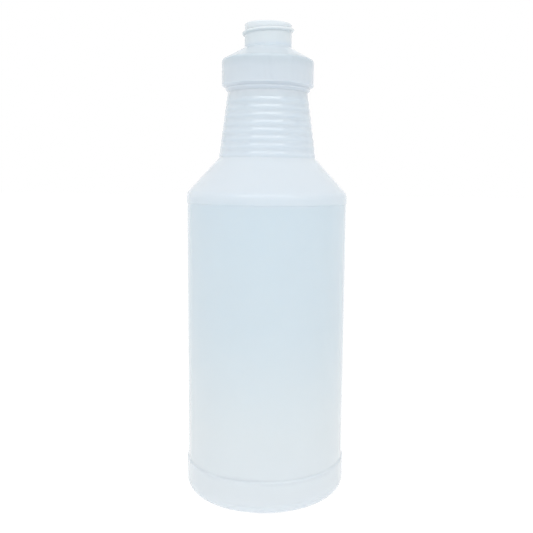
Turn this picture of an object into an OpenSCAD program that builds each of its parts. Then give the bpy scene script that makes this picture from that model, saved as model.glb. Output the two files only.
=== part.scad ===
// Round blow-moulded bottle with a ribbed grip, a collar and a threaded neck.
// One hollow piece, standing on its foot ring with its axis on +Z.

/* [Foot and base band] */
// Diameter over the base band
base_d = 86.6; // [76:0.2:110]
// Height of the base band, from the ground to the step
base_band_h = 18.2; // [12:0.2:40]
// Radius of the heel, between the foot and the base band
heel_r = 7; // [4:0.5:9]
// Width of the flat ring that the bottle stands on
foot_ring_w = 4.3; // [2.5:0.1:6]
// Height of the push-up in the middle of the foot
push_up = 3.5; // [2:0.1:6]
// Width of the slope between the foot ring and the push-up
push_slope_w = 8; // [5:0.5:12]

/* [Label panel] */
// Depth of the label panel below the base band
panel_recess = 0.7; // [0.3:0.05:1.5]
// Height of the label panel
panel_h = 139; // [80:1:180]
// Height of each small step at the ends of the label panel
step_h = 0.7; // [0.4:0.05:1.5]

/* [Shoulder] */
// Depth of the shoulder band below the base band
band_recess = 0.35; // [0:0.05:0.8]
// Height of the shoulder band, up to where the cone's line meets it
band_h = 4.7; // [3.5:0.1:10]
// Radius between the shoulder band and the cone
shoulder_r = 5.7; // [3:0.1:8]
// Slope of the shoulder cone above the horizontal
shoulder_slope = 47.5; // [35:0.5:60]

/* [Ribbed grip] */
// Diameter at the foot of the grip
grip_foot_d = 51.4; // [46:0.2:58]
// Diameter at the top of the grip
grip_top_d = 42.2; // [38:0.2:44]
// Height of the plain land below the first ring
land_h = 0.3; // [0.3:0.1:5]
// Number of raised rings round the grip
ring_count = 8; // [5:1:14]
// Distance from one ring to the next
ring_pitch = 3.92; // [3:0.02:6]
// Width of a ring
ring_w = 2.4; // [1.5:0.1:2.8]
// Height of a ring above the grip
ring_h = 0.2; // [0.1:0.05:0.7]
// Height of the plain land above the last ring
top_land_h = 3.9; // [1:0.1:6]

/* [Collar] */
// Height of the undercut between the grip and the ledge
undercut_h = 1.5; // [0.8:0.1:3]
// Diameter of the small ledge under the collar
ledge_d = 44.8; // [44.4:0.1:47]
// Height of the ledge
ledge_h = 0.8; // [0.6:0.1:3]
// Diameter of the collar
collar_d = 48.6; // [47.6:0.2:54]
// Height of the bevel under the collar
bevel_h = 1.3; // [1:0.1:3]
// Height of the collar's straight side
collar_h = 13; // [8:0.5:20]
// Slope of the collar's top above the horizontal
collar_slope = 28.5; // [20:0.5:40]

/* [Threaded neck] */
// Diameter of the neck under its thread
neck_d = 24.7; // [24.5:0.05:25.3]
// Height of the neck, from the collar's top to the rim
finish_h = 12.2; // [11.5:0.1:16]
// Diameter of the mouth
bore_d = 21.4; // [18:0.1:22]
// Diameter over the thread
thread_d = 27.3; // [26.9:0.05:27.7]
// Height that the thread rises in one turn
thread_pitch = 4.23; // [3.5:0.01:4.5]
// Turns of thread, with both fading ends
thread_turns = 1; // [0.75:0.05:1.25]
// Width of the thread at its root
thread_root_w = 2.3; // [1.6:0.1:2.6]
// Width of the thread at its crest
thread_crest_w = 0.9; // [0.5:0.1:1.4]
// Distance from the rim down to the middle of the thread's upper end
thread_drop = 2.1; // [1.6:0.05:3]

/* [Wall] */
// Thickness of the side wall
wall = 0.9; // [0.6:0.05:1.5]
// Thickness of the floor
floor_wall = 1.4; // [1:0.1:3]

/* [Hidden] */

natural = [0.86, 0.92, 0.95, 0.9];
fine = 96;             // fragments of the turned body
arc_step = 7.5;        // degrees of turn for each flat of a rounded corner
step_r = 0.5;          // radius at the steps of the label panel
push_r = 3;            // radius at the rise of the push-up
foot_r = 1;            // radius at the inner edge of the foot ring
grip_fillet_r = 0.8;   // radius in the foot of the grip
ledge_r = 0.3;         // radius at the edges of the ledge
collar_edge_r = 1.8;   // radius at the top edge of the collar
neck_fillet_r = 1.2;   // radius in the foot of the neck
rim_r = 0.4;           // radius at the outer edge of the rim
mouth_r = 0.4;         // radius at the inner edge of the rim
inner_r = 1.5;         // radius of the corners inside the grip and the collar

base = base_d / 2;
panel = base - panel_recess;
band = base - band_recess;
grip_foot = grip_foot_d / 2;
grip_top = grip_top_d / 2;
ledge = ledge_d / 2;
collar = collar_d / 2;
neck = neck_d / 2;
bore = bore_d / 2;
foot_in = base - heel_r - foot_ring_w;
push = foot_in - push_slope_w;

// Heights, stacked from the ground to the rim
panel_z = base_band_h + step_h;
panel_top_z = panel_z + panel_h;
band_z = panel_top_z + step_h;
shoulder_z = band_z + band_h;
grip_z = shoulder_z + (band - grip_foot) * tan(shoulder_slope);
last_ring_z = grip_z + land_h + ring_w + (ring_count - 1) * ring_pitch;
grip_top_z = last_ring_z + top_land_h;
ledge_z = grip_top_z + undercut_h;
bevel_z = ledge_z + ledge_h;
collar_z = bevel_z + bevel_h;
collar_top_z = collar_z + collar_h;
neck_z = collar_top_z + (collar - neck) * tan(collar_slope);
height = neck_z + finish_h;

// Radius of the plain grip at a height
grip_taper = (grip_foot - grip_top) / (grip_top_z - grip_z);
function grip_at(z) = grip_foot - (z - grip_z) * grip_taper;

// One ring: a shallow arc that stands on the tapered grip
ring_flats = 6;
ring_arc_r = (ring_w * ring_w / 4 + ring_h * ring_h) / (2 * ring_h);
function ring(z) = [
  for (i = [0 : ring_flats])
    let (h = ring_w * (i / ring_flats - 0.5))
    [grip_at(z + h) + sqrt(ring_arc_r * ring_arc_r - h * h) - ring_arc_r + ring_h, z + h, 0]
];
ring_z = grip_z + land_h + ring_w / 2;
rings = [for (k = [0 : ring_count - 1]) each ring(ring_z + k * ring_pitch)];

// Outside of the wall, from the middle of the foot to the rim: radius, height, corner radius
outside = [
  [0, push_up, 0],
  [push, push_up, push_r],
  [foot_in, 0, foot_r],
  [base, 0, heel_r],
  [base, base_band_h, step_r],
  [panel, panel_z, step_r],
  [panel, panel_top_z, step_r],
  [band, band_z, step_r],
  [band, shoulder_z, shoulder_r],
  [grip_foot, grip_z, grip_fillet_r],
  each rings,
  [grip_top, grip_top_z, 0],
  [ledge, ledge_z, ledge_r],
  [ledge, bevel_z, ledge_r],
  [collar, collar_z, step_r],
  [collar, collar_top_z, collar_edge_r],
  [neck, neck_z, neck_fillet_r],
  [neck, height, rim_r]
];

// Inside of the wall: it follows the outside, but leaves out the rings and the ledge
cone_foot_z = shoulder_z + wall * tan(shoulder_slope) - wall / cos(shoulder_slope);
grip_in = grip_foot - wall;
grip_in_z = cone_foot_z + (band - wall - grip_in) * tan(shoulder_slope);
cone_top_z = collar_top_z + wall * tan(collar_slope) - wall / cos(collar_slope);
bore_z = cone_top_z + (collar - wall - bore) * tan(collar_slope);
inside = [
  [0, push_up + floor_wall, 0],
  [push, push_up + floor_wall, push_r],
  [foot_in, floor_wall, foot_r],
  [base - wall, floor_wall, heel_r - wall],
  [base - wall, base_band_h, step_r],
  [panel - wall, panel_z, step_r],
  [panel - wall, panel_top_z, step_r],
  [band - wall, band_z, step_r],
  [band - wall, cone_foot_z, shoulder_r - wall],
  [grip_in, grip_in_z, inner_r],
  [grip_top - wall, bevel_z, inner_r],
  [collar - wall, collar_z + wall, step_r],
  [collar - wall, cone_top_z, step_r],
  [bore, bore_z, step_r],
  [bore, height, mouth_r]
];

// A path with its corners turned into arcs. Its first and last points are kept.
function unit(v) = v / norm(v);
function flat(p) = [p[0], p[1]];
function rounded(path) = [
  for (i = [0 : len(path) - 1])
    each (i == 0 || i == len(path) - 1 || path[i][2] == 0)
      ? [flat(path[i])]
      : corner(flat(path[i - 1]), flat(path[i]), flat(path[i + 1]), path[i][2])
];
function corner(a, p, b, r) =
  let (
    u = unit(a - p),
    v = unit(b - p),
    half = acos(u * v) / 2,
    centre = p + unit(u + v) * r / sin(half),
    start = p + u * r / tan(half) - centre,
    turn = (180 - 2 * half) * (cross(u, v) > 0 ? -1 : 1),
    first = atan2(start[1], start[0]),
    steps = max(1, ceil(abs(turn) / arc_step))
  )
  [for (k = [0 : steps]) let (a = first + turn * k / steps) centre + r * [cos(a), sin(a)]];
function backwards(list) = [for (i = [len(list) - 1 : -1 : 0]) list[i]];

// The wall's section goes up the outside, over the rim and down the inside
module shell() {
  section = rounded(concat(outside, backwards(inside)));
  rotate_extrude($fn = fine) polygon(section);
}

// Thread: a ridge that winds up the neck and fades into it at both ends
thread_step = 7.5;       // degrees from one section of the ridge to the next
thread_fade = 40;        // degrees over which an end fades
thread_end = 60;         // bearing of the upper end
thread_root_depth = 0.5; // how far the ridge reaches into the neck's wall
thread_sunk = 0.1;       // how far the crest lies in the wall at the very ends
thread_thin = 0.4;       // share of its width that the ridge keeps at the very ends
function fade(a, sweep) = max(0, min(1, a / thread_fade, (sweep - a) / thread_fade));
function thread_section(a, sweep) =
  let (
    f = fade(a, sweep),
    z = height - thread_drop - (sweep - a) / 360 * thread_pitch,
    low = neck - thread_root_depth,
    high = neck - thread_sunk + (thread_d / 2 - neck + thread_sunk) * f,
    thin = thread_thin + (1 - thread_thin) * f,
    root = thread_root_w / 2 * thin,
    crest = thread_crest_w / 2 * thin,
    at = thread_end - sweep + a
  )
  [for (q = [[low, -root], [high, -crest], [high, crest], [low, root]])
    [q[0] * cos(at), q[0] * sin(at), z + q[1]]];
module thread() {
  sweep = thread_turns * 360;
  steps = round(sweep / thread_step);
  last = 4 * steps;
  points = [for (i = [0 : steps]) each thread_section(i * sweep / steps, sweep)];
  sides = [
    for (i = [0 : steps - 1], j = [0 : 3])
      let (a = 4 * i + j, b = 4 * i + (j + 1) % 4)
      each [[a, b, b + 4], [a, b + 4, a + 4]]
  ];
  ends = [[2, 1, 0], [3, 2, 0], [last, last + 1, last + 2], [last, last + 2, last + 3]];
  polyhedron(points, concat(sides, ends));
}

module bottle() {
  color(natural) {
    shell();
    thread();
  }
}

bottle();
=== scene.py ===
"""The look of a ribbed-neck plastic bottle.

A finely turned shell takes the solid's place, in milky plastic, in a white studio.
"""

import math

import bmesh
import bpy
from mathutils import Matrix, Vector


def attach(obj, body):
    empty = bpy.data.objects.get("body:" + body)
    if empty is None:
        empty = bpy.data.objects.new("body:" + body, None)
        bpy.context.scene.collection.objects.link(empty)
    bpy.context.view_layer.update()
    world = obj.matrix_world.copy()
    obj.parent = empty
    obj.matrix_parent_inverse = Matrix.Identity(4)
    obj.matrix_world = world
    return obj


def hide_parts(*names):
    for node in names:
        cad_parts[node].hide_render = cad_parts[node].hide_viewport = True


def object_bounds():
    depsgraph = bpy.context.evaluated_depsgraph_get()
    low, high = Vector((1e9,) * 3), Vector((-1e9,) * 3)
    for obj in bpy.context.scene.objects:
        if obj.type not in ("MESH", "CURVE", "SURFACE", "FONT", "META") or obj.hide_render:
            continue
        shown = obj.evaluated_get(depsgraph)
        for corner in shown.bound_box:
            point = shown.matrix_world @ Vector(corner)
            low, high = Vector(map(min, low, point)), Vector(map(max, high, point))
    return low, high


MM = 0.001
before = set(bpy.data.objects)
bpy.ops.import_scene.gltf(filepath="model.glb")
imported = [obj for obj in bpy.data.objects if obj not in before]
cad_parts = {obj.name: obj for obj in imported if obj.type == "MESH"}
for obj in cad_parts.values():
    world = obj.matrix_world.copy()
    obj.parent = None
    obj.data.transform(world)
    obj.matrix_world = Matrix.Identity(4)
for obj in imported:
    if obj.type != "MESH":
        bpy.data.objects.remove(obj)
cad_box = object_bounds()

# Sizes in millimetres, the same as the solid's. The widest radius and the height are the frame's own.
BASE_R = (cad_box[1][0] - cad_box[0][0]) / 2 / MM
HEIGHT = (cad_box[1][2] - cad_box[0][2]) / MM
WALL, FLOOR_WALL = 0.9, 1.4
# How far the inner steps lie beside the outer ones, so that the wall isn't thinner there
LOW_STEP_SHIFT, TOP_STEP_SHIFT = 0.4, 0.2

HEEL_R, FOOT_RING_W, PUSH_SLOPE_W, PUSH_UP = 7.0, 4.3, 8.0, 3.5
FOOT_IN_R = BASE_R - HEEL_R - FOOT_RING_W
PUSH_R = FOOT_IN_R - PUSH_SLOPE_W
BASE_BAND_H, STEP_H, PANEL_H, BAND_H = 18.2, 0.7, 139.0, 4.7
PANEL_RECESS, BAND_RECESS = 0.7, 0.35
PANEL_R, BAND_R = BASE_R - PANEL_RECESS, BASE_R - BAND_RECESS
SHOULDER_SLOPE, SHOULDER_ROUND = math.radians(47.5), 5.7

GRIP_FOOT_R, GRIP_TOP_R = 25.7, 21.1
LAND_H, TOP_LAND_H, RING_COUNT, RING_PITCH, RING_W, RING_H = 0.3, 3.9, 8, 3.92, 2.4, 0.2
RING_SPREAD = 3.6      # width over which a ring swells and sinks again
RING_STEPS = 12

UNDERCUT_H, LEDGE_R, LEDGE_H = 1.5, 22.4, 0.8
BEVEL_H, COLLAR_R, COLLAR_H = 1.3, 24.3, 13.0
COLLAR_SLOPE, COLLAR_ROUND = math.radians(28.5), 1.8

NECK_R, BORE_R, THREAD_R = 12.35, 10.7, 13.65
THREAD_PITCH, THREAD_DROP, THREAD_END = 4.23, 2.1, 60.0
THREAD_SWEEP, THREAD_FADE = 360.0, 40.0
THREAD_ROOT, THREAD_CREST = 1.25, 0.2    # half widths, a little rounder than the solid's
THREAD_ROW = 0.14                        # height of one row of faces across the thread
THREAD_CLEAR = 0.65                      # plain height between the rim and the first of these rows
NECK_RUN = 5.0                           # a straight run on the neck longer than this is its side

# Radii of the corners
FOOT_ROUND, PUSH_ROUND, STEP_ROUND, GRIP_FILLET = 1.0, 3.0, 0.5, 0.8
BASE_STEP_ROUND, BASE_STEP_FILLET = 1.2, 1.0
LEDGE_ROUND, NECK_FILLET, RIM_ROUND, INNER_ROUND = 0.3, 1.2, 0.4, 1.5

ARC_STEP = 6.0         # degrees of turn for each flat of a rounded corner
SUPPORT = 0.25         # distance of the extra rows that keep straight stretches straight
AROUND = 192           # faces round the axis

# Heights, stacked from the ground up
PANEL_Z = BASE_BAND_H + STEP_H
PANEL_TOP_Z = PANEL_Z + PANEL_H
BAND_Z = PANEL_TOP_Z + STEP_H
SHOULDER_Z = BAND_Z + BAND_H
GRIP_Z = SHOULDER_Z + (BAND_R - GRIP_FOOT_R) * math.tan(SHOULDER_SLOPE)
GRIP_TOP_Z = GRIP_Z + LAND_H + RING_W + (RING_COUNT - 1) * RING_PITCH + TOP_LAND_H
LEDGE_Z = GRIP_TOP_Z + UNDERCUT_H
BEVEL_Z = LEDGE_Z + LEDGE_H
COLLAR_Z = BEVEL_Z + BEVEL_H
COLLAR_TOP_Z = COLLAR_Z + COLLAR_H
NECK_Z = COLLAR_TOP_Z + (COLLAR_R - NECK_R) * math.tan(COLLAR_SLOPE)
GRIP_TAPER = (GRIP_FOOT_R - GRIP_TOP_R) / (GRIP_TOP_Z - GRIP_Z)


def grip_r(z):
    """Radius of the plain grip at a height."""
    return GRIP_FOOT_R - (z - GRIP_Z) * GRIP_TAPER


def rings():
    """Points up the grip: each ring swells softly out of the taper."""
    points = []
    for k in range(RING_COUNT):
        middle = GRIP_Z + LAND_H + RING_W / 2 + k * RING_PITCH
        for i in range(RING_STEPS + 1):
            h = RING_SPREAD * (i / RING_STEPS - 0.5)
            z = middle + h
            if GRIP_Z + LAND_H < z < GRIP_TOP_Z:
                swell = RING_H * math.cos(math.pi * h / RING_SPREAD) ** 2
                points.append((grip_r(z) + swell, z, 0))
    return points


def outside():
    """Outer wall as (radius, height, corner radius), from the middle of the foot to the rim."""
    return [
        (0, PUSH_UP, 0),
        (PUSH_R, PUSH_UP, PUSH_ROUND),
        (FOOT_IN_R, 0, FOOT_ROUND),
        (BASE_R, 0, HEEL_R),
        (BASE_R, BASE_BAND_H, BASE_STEP_ROUND),
        (PANEL_R, PANEL_Z, BASE_STEP_FILLET),
        (PANEL_R, PANEL_TOP_Z, STEP_ROUND),
        (BAND_R, BAND_Z, STEP_ROUND),
        (BAND_R, SHOULDER_Z, SHOULDER_ROUND),
        (GRIP_FOOT_R, GRIP_Z, GRIP_FILLET),
        *rings(),
        (GRIP_TOP_R, GRIP_TOP_Z, 0),
        (LEDGE_R, LEDGE_Z, LEDGE_ROUND),
        (LEDGE_R, BEVEL_Z, LEDGE_ROUND),
        (COLLAR_R, COLLAR_Z, STEP_ROUND),
        (COLLAR_R, COLLAR_TOP_Z, COLLAR_ROUND),
        (NECK_R, NECK_Z, NECK_FILLET),
        (NECK_R, HEIGHT, RIM_ROUND),
    ]


def inside():
    """Inner wall, from the middle of the floor to the rim."""
    cone_foot_z = SHOULDER_Z + WALL * math.tan(SHOULDER_SLOPE) - WALL / math.cos(SHOULDER_SLOPE)
    grip_in_r = GRIP_FOOT_R - WALL
    grip_in_z = cone_foot_z + (BAND_R - WALL - grip_in_r) * math.tan(SHOULDER_SLOPE)
    cone_top_z = COLLAR_TOP_Z + WALL * math.tan(COLLAR_SLOPE) - WALL / math.cos(COLLAR_SLOPE)
    bore_z = cone_top_z + (COLLAR_R - WALL - BORE_R) * math.tan(COLLAR_SLOPE)
    return [
        (0, PUSH_UP + FLOOR_WALL, 0),
        (PUSH_R, PUSH_UP + FLOOR_WALL, PUSH_ROUND),
        (FOOT_IN_R, FLOOR_WALL, FOOT_ROUND),
        (BASE_R - WALL, FLOOR_WALL, HEEL_R - WALL),
        (BASE_R - WALL, BASE_BAND_H - LOW_STEP_SHIFT, STEP_ROUND),
        (PANEL_R - WALL, PANEL_Z - LOW_STEP_SHIFT, STEP_ROUND),
        (PANEL_R - WALL, PANEL_TOP_Z + TOP_STEP_SHIFT, STEP_ROUND),
        (BAND_R - WALL, BAND_Z + TOP_STEP_SHIFT, STEP_ROUND),
        (BAND_R - WALL, cone_foot_z, SHOULDER_ROUND - WALL),
        (grip_in_r, grip_in_z, INNER_ROUND),
        (GRIP_TOP_R - WALL, BEVEL_Z, INNER_ROUND),
        (COLLAR_R - WALL, COLLAR_Z + WALL, STEP_ROUND),
        (COLLAR_R - WALL, cone_top_z, STEP_ROUND),
        (BORE_R, bore_z, STEP_ROUND),
        (BORE_R, HEIGHT, RIM_ROUND),
    ]


def corner(a, p, b, radius):
    """The arc of that radius that rounds the corner at p between a and b."""
    u, v = (a - p).normalized(), (b - p).normalized()
    half = u.angle(v) / 2
    centre = p + (u + v).normalized() * radius / math.sin(half)
    start = p + u * radius / math.tan(half) - centre
    turn = math.pi - 2 * half
    if u.x * v.y - u.y * v.x > 0:
        turn = -turn
    first = math.atan2(start.y, start.x)
    steps = max(2, math.ceil(abs(math.degrees(turn)) / ARC_STEP))
    angles = [first + turn * k / steps for k in range(steps + 1)]
    return [centre + radius * Vector((math.cos(t), math.sin(t))) for t in angles]


def rounded(path):
    """The path with its corners turned into arcs."""
    flat = [Vector(p[:2]) for p in path]
    points = [flat[0]]
    for i in range(1, len(path) - 1):
        radius = path[i][2]
        points += corner(flat[i - 1], flat[i], flat[i + 1], radius) if radius else [flat[i]]
    return points + [flat[-1]]


def supported(points):
    """The path with extra points near the ends of its long straight stretches."""
    result = [points[0]]
    for a, b in zip(points, points[1:]):
        length = (b - a).length
        if length > 4 * SUPPORT:
            way = (b - a) / length
            result += [a + way * SUPPORT, b - way * SUPPORT]
        result.append(b)
    return result


def ridge(angle, z):
    """How far the thread stands out of the neck at a bearing in degrees and a height."""
    best = 0
    first = THREAD_END - THREAD_SWEEP
    for turn in (-360, 0):
        along = angle + turn - first
        if not 0 < along < THREAD_SWEEP:
            continue
        fade = min(1, along / THREAD_FADE, (THREAD_SWEEP - along) / THREAD_FADE)
        fade = fade * fade * (3 - 2 * fade)
        middle = HEIGHT - THREAD_DROP - (THREAD_SWEEP - along) / 360 * THREAD_PITCH
        slope = (THREAD_ROOT - abs(z - middle)) / (THREAD_ROOT - THREAD_CREST)
        slope = max(0, min(1, slope))
        best = max(best, (THREAD_R - NECK_R) * fade * slope * slope * (3 - 2 * slope))
    return best


def threaded(points):
    """The path with close rows where the thread runs."""
    low = HEIGHT - THREAD_DROP - THREAD_PITCH - THREAD_ROOT - THREAD_ROW
    high = HEIGHT - THREAD_CLEAR
    result = []
    for a, b in zip(points, points[1:]):
        result.append(a)
        if abs(a.x - NECK_R) < 0.01 and abs(b.x - NECK_R) < 0.01 and b.y - a.y > NECK_RUN:
            rows = round((high - low) / THREAD_ROW)
            result += [Vector((NECK_R, low + (high - low) * i / rows)) for i in range(rows + 1)]
    return result + [points[-1]]


def turned(name, path, carved):
    """A closed mesh turned from a path that starts and ends on the axis."""
    mesh = bmesh.new()
    rows = []
    for p in path:
        if p.x < 1e-6:
            rows.append([mesh.verts.new((0, 0, p.y * MM))] * AROUND)
            continue
        row = []
        for k in range(AROUND):
            degrees = 360 * k / AROUND
            radius = p.x + (ridge(degrees, p.y) if carved(p) else 0)
            t = math.radians(degrees)
            row.append(mesh.verts.new((radius * math.cos(t) * MM, radius * math.sin(t) * MM, p.y * MM)))
        rows.append(row)
    for low, high in zip(rows, rows[1:]):
        for k in range(AROUND):
            n = (k + 1) % AROUND
            ring = [low[k], low[n], high[n], high[k]]
            face = mesh.faces.new(list(dict.fromkeys(ring)))
            face.smooth = True
    bmesh.ops.recalc_face_normals(mesh, faces=mesh.faces)
    return as_object(name, mesh)


def as_object(name, mesh):
    data = bpy.data.meshes.new(name)
    mesh.to_mesh(data)
    mesh.free()
    piece = bpy.data.objects.new(name, data)
    bpy.context.scene.collection.objects.link(piece)
    return piece


def shell():
    """The whole bottle: up the outside, over the rim and down the inside."""
    path = threaded(supported(rounded(outside() + inside()[::-1])))
    return turned("bottle_shell", path, lambda p: p.x > NECK_R - 0.01 and p.y > NECK_Z)


def pinch_line():
    """The low scar across the push-up where the mould closed on the plastic."""
    length, width, height, sections = 44.0, 1.4, 0.35, 14
    tip_w, tip_h, sunk = 0.05, 0.01, 0.1
    mesh = bmesh.new()
    rows = []
    for i in range(sections + 1):
        s = i / sections * 2 - 1
        x = s * length / 2
        full = 1 - abs(s) ** 6
        w = width / 2 * full + tip_w
        h = height * full + tip_h
        section = [(-w, sunk), (-w * 0.5, -h), (w * 0.5, -h), (w, sunk)]
        rows.append([mesh.verts.new((x * MM, y * MM, (PUSH_UP + z) * MM)) for y, z in section])
    for a, b in zip(rows, rows[1:]):
        for j in range(4):
            n = (j + 1) % 4
            mesh.faces.new([a[j], a[n], b[n], b[j]]).smooth = True
    mesh.faces.new(rows[0])
    mesh.faces.new(rows[-1][::-1])
    bmesh.ops.recalc_face_normals(mesh, faces=mesh.faces)
    return as_object("pinch_line", mesh)


def node(tree, kind, inputs=None, **settings):
    """A shader node with its settings, and its inputs as values or as sockets to link."""
    made = tree.nodes.new(kind)
    for key, value in settings.items():
        setattr(made, key, value)
    for key, value in (inputs or {}).items():
        if isinstance(value, bpy.types.NodeSocket):
            tree.links.new(value, made.inputs[key])
        else:
            made.inputs[key].default_value = value
    return made


def new_material(name):
    material = bpy.data.materials.new(name)
    material.use_nodes = True
    tree = material.node_tree
    tree.nodes.clear()
    return material, tree


# Colour of the plastic by height in millimetres, with painted light and shade in it. The thicker wall of
# the neck is whiter. Painted light from the floor makes the bottle lighter low down. Painted light from
# above makes the up-facing shoulder and collar top lighter. Painted shade darkens the base step, the
# collar's top edge and the thread, where the lamp's highlights fall.
TONES_AND_PAINTED_LIGHT = [
    # Base band, lighter low down with painted light from the floor, and its step
    (0, (0.765, 0.83, 0.895)),
    (16.8, (0.757, 0.826, 0.885)),
    # Painted shade at the base step, to dim the lamp's highlight on its up-facing slope
    (18.6, (0.71, 0.775, 0.832)),
    (20.4, (0.755, 0.825, 0.882)),
    # Label panel, lighter towards its foot with the same painted light from the floor
    (40, (0.745, 0.82, 0.87)),
    (95, (0.668, 0.768, 0.845)),
    (157, (0.647, 0.755, 0.842)),
    # Shoulder, lighter with painted light from above on its up-facing slope
    (159, (0.69, 0.78, 0.87)),
    (165, (0.73, 0.81, 0.905)),
    (180, (0.735, 0.815, 0.905)),
    # Grip
    (186, (0.685, 0.765, 0.845)),
    (212, (0.65, 0.735, 0.815)),
    # Collar and its top
    (218, (0.66, 0.725, 0.79)),
    (228, (0.645, 0.715, 0.78)),
    # Painted shade on the collar's top edge, to dim the lamp's highlight there
    (231, (0.60, 0.675, 0.735)),
    (233, (0.60, 0.68, 0.74)),
    # The up-facing collar top, lighter with painted light from above
    (234.5, (0.68, 0.76, 0.83)),
    (238.5, (0.70, 0.78, 0.85)),
    # Neck and rim
    (241, (0.715, 0.775, 0.81)),
    # Painted shade over the thread, to dim the lamp's highlight on its ridge
    (247, (0.70, 0.755, 0.785)),
    (249.5, (0.745, 0.795, 0.83)),
    (251, (0.745, 0.795, 0.83)),
]
CLOUD_SHIFT = 0.0015   # metres by which faint clouds move these heights up and down
SEAM_HALF_W = 0.0004   # metres from the middle of a parting line to its edge


def colour_by_height(tree, place, z):
    """The tones up the bottle, with their painted light and shade, blurred by faint clouds."""
    clouds = node(tree, "ShaderNodeTexNoise", {"Vector": place, "Scale": 28, "Detail": 2})
    cloudy = node(tree, "ShaderNodeMapRange", {
        "Value": clouds.outputs["Fac"], "From Min": 0.3, "From Max": 0.7,
        "To Min": -CLOUD_SHIFT, "To Max": CLOUD_SHIFT,
    })
    height = node(tree, "ShaderNodeMath", {0: z, 1: cloudy.outputs[0]}, operation="ADD")
    share = node(tree, "ShaderNodeMath", {0: height.outputs[0], 1: HEIGHT * MM}, operation="DIVIDE")
    tone = node(tree, "ShaderNodeValToRGB", {"Fac": share.outputs[0]})
    stops = tone.color_ramp.elements
    for stop, (level, colour) in zip(stops, (TONES_AND_PAINTED_LIGHT[0], TONES_AND_PAINTED_LIGHT[-1])):
        stop.position = level / HEIGHT
        stop.color = (*colour, 1)
    for level, colour in TONES_AND_PAINTED_LIGHT[1:-1]:
        stops.new(level / HEIGHT).color = (*colour, 1)
    return tone.outputs["Color"]


def relief(tree, place, y):
    """Long faint waves, a fine grain, and the parting lines at the left and the right."""
    waves = node(tree, "ShaderNodeTexNoise", {"Vector": place, "Scale": 45, "Detail": 1})
    grain = node(tree, "ShaderNodeTexNoise", {"Vector": place, "Scale": 1400, "Detail": 2})
    away = node(tree, "ShaderNodeMath", {0: y}, operation="ABSOLUTE")
    seam = node(tree, "ShaderNodeMapRange", {
        "Value": away.outputs[0], "From Min": 0.0, "From Max": SEAM_HALF_W, "To Min": 1.0, "To Max": 0.0,
    }, interpolation_type="SMOOTHSTEP")
    bump = node(tree, "ShaderNodeBump", {
        "Height": waves.outputs["Fac"], "Strength": 0.25, "Distance": 0.0006,
    })
    bump = node(tree, "ShaderNodeBump", {
        "Height": grain.outputs["Fac"], "Strength": 0.15, "Distance": 0.00003, "Normal": bump.outputs[0],
    })
    bump = node(tree, "ShaderNodeBump", {
        "Height": seam.outputs[0], "Strength": 0.5, "Distance": 0.00008, "Normal": bump.outputs[0],
    })
    return bump.outputs[0]


def milky_plastic():
    """Natural blow-moulded plastic: milky, a little blue and satin."""
    material, tree = new_material("natural_plastic")
    place = node(tree, "ShaderNodeTexCoord").outputs["Object"]
    split = node(tree, "ShaderNodeSeparateXYZ", {"Vector": place}).outputs
    shader = node(tree, "ShaderNodeBsdfPrincipled", {
        "Base Color": colour_by_height(tree, place, split["Z"]),
        "Roughness": 0.15,
        "IOR": 1.5,
        "Subsurface Weight": 1.0,
        "Subsurface Radius": (0.0014, 0.0014, 0.0014),
        "Subsurface Scale": 1.0,
        "Normal": relief(tree, place, split["Y"]),
    })
    node(tree, "ShaderNodeOutputMaterial", {"Surface": shader.outputs[0]})
    return material


# Light that the white room throws on the bottle. White is 1.
ROOM_LIGHT = 0.8

# The floor: its reach in metres, its matt tone, its own glow, and the share of glow in what
# lights the bottle and in what is seen of the floor
FLOOR_REACH, FLOOR_TONE, FLOOR_GLOW = 6.0, 0.95, 1.1
GLOW_SHARE_LIT, GLOW_SHARE_SEEN = 0.45, 0.8


def looked_at(tree):
    """1 for the rays that show the background: from the camera, off a gloss or through glass."""
    light = node(tree, "ShaderNodeLightPath").outputs
    seen = light["Is Camera Ray"]
    for kind in ("Is Glossy Ray", "Is Transmission Ray"):
        seen = node(tree, "ShaderNodeMath", {0: seen, 1: light[kind]}, operation="MAXIMUM").outputs[0]
    return seen


def studio_floor():
    """A white sweep that the camera sees as white, with a faint soft shadow."""
    material, tree = new_material("white_floor")
    share = node(tree, "ShaderNodeMapRange", {
        "Value": looked_at(tree), "To Min": GLOW_SHARE_LIT, "To Max": GLOW_SHARE_SEEN,
    })
    matt = node(tree, "ShaderNodeBsdfDiffuse", {"Color": (FLOOR_TONE, FLOOR_TONE, FLOOR_TONE, 1)})
    glow = node(tree, "ShaderNodeEmission", {"Color": (1, 1, 1, 1), "Strength": FLOOR_GLOW})
    mixed = node(tree, "ShaderNodeMixShader", {0: share.outputs[0], 1: matt.outputs[0], 2: glow.outputs[0]})
    node(tree, "ShaderNodeOutputMaterial", {"Surface": mixed.outputs[0]})
    mesh = bmesh.new()
    reach = FLOOR_REACH
    corners = [(-reach, -reach, 0), (reach, -reach, 0), (reach, reach, 0), (-reach, reach, 0)]
    mesh.faces.new([mesh.verts.new(c) for c in corners])
    floor = as_object("floor", mesh)
    floor.data.materials.append(material)


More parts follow.
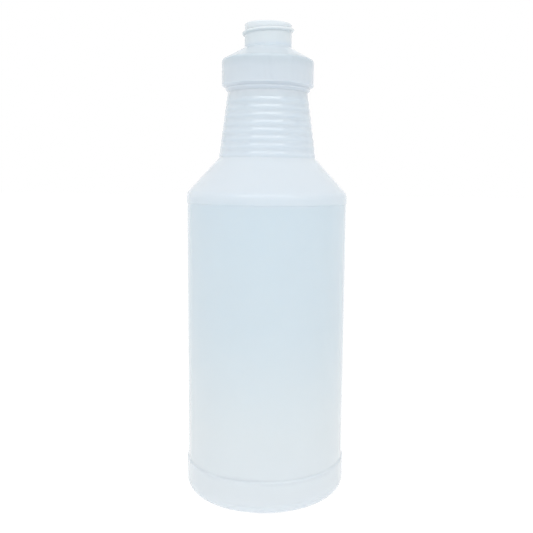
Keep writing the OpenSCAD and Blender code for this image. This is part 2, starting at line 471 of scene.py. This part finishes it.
def white_room():
    """A white room all round. What the camera and the gloss see of it is plain white."""
    world = bpy.data.worlds.new("white_room")
    world.use_nodes = True
    bpy.context.scene.world = world
    tree = world.node_tree
    tree.nodes.clear()
    strength = node(tree, "ShaderNodeMapRange", {
        "Value": looked_at(tree), "To Min": ROOM_LIGHT, "To Max": 1.0,
    })
    sky = node(tree, "ShaderNodeBackground", {"Color": (1, 1, 1, 1), "Strength": strength.outputs[0]})
    node(tree, "ShaderNodeOutputWorld", {"Surface": sky.outputs[0]})


def lamp(name, place, target, size, power):
    """A flat lamp at a place, facing a target. Lengths in metres, power in watts."""
    data = bpy.data.lights.new(name, "AREA")
    data.shape = "RECTANGLE"
    data.size, data.size_y = size
    data.energy = power
    made = bpy.data.objects.new(name, data)
    bpy.context.scene.collection.objects.link(made)
    made.location = place
    made.rotation_euler = (Vector(target) - Vector(place)).to_track_quat("-Z", "Y").to_euler()


# Where the photo was taken from: metres, degrees and millimetres of lens
CAMERA_PLACE = (0, -0.3881, 0.1724)
CAMERA_PITCH, CAMERA_YAW, CAMERA_ROLL = -7.152, 2.413, 0.698
CAMERA_LENS = 48.231
CAMERA_SHIFT = (-0.0563, 0)


def camera():
    pitch, yaw, roll = (math.radians(v) for v in (CAMERA_PITCH, CAMERA_YAW, CAMERA_ROLL))
    ahead = Vector((math.sin(yaw) * math.cos(pitch), math.cos(yaw) * math.cos(pitch), math.sin(pitch)))
    right = ahead.cross(Vector((0, 0, 1))).normalized()
    up = right.cross(ahead)
    across = right * math.cos(roll) + up * math.sin(roll)
    upwards = up * math.cos(roll) - right * math.sin(roll)
    data = bpy.data.cameras.new("camera")
    data.sensor_width = 36
    data.lens = CAMERA_LENS
    data.shift_x, data.shift_y = CAMERA_SHIFT
    data.clip_start = 0.01
    made = bpy.data.objects.new("camera", data)
    turn = Matrix((across, upwards, -ahead)).transposed().to_4x4()
    made.matrix_world = Matrix.Translation(CAMERA_PLACE) @ turn
    bpy.context.scene.collection.objects.link(made)
    bpy.context.scene.camera = made


def dress(piece):
    piece.data.materials.append(plastic)
    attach(piece, "root")


plastic = milky_plastic()
bottle = shell()
dress(bottle)
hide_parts("bottle")
dress(pinch_line())

bpy.context.scene.view_settings.view_transform = "Standard"
studio_floor()
white_room()
lamp("front_lamp", place=(0, -0.75, 0.78), target=(0, 0, 0.2), size=(1.45, 0.15), power=2.9)
camera()
